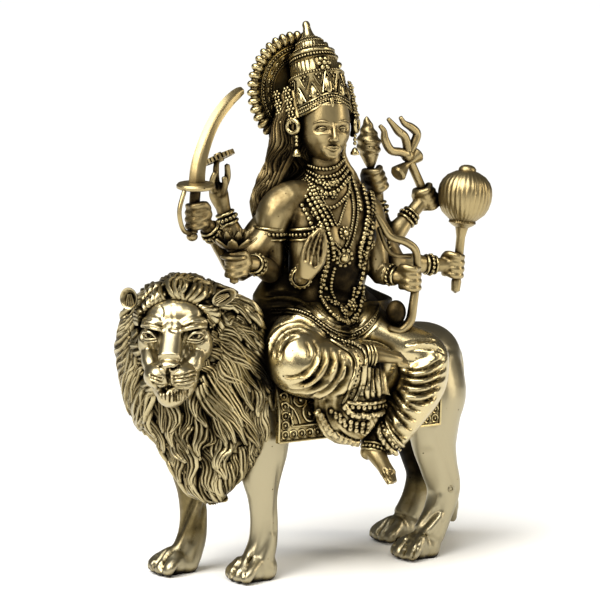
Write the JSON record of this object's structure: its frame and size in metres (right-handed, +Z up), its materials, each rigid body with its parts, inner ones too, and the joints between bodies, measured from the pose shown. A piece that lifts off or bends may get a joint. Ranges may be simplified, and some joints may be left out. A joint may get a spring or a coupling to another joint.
{
  "type": "durga figure, cast brass statuette",
  "caption": "Antique brass statuette of a crowned multi-armed goddess with a halo, seated sideways on a standing lion.",
  "frame": {"origin": "on the ground, under the middle of the bounding box", "axes": "+Z up, the lion faces -X, the goddess faces -Y"},
  "size_m": [0.1454, 0.0636, 0.1799],
  "materials": {
    "antique_brass": "polished brass, darkened with age in the recesses"
  },
  "bodies": {
    "root": {"durga_on_lion": "antique_brass"}
  },
  "joints": []
}
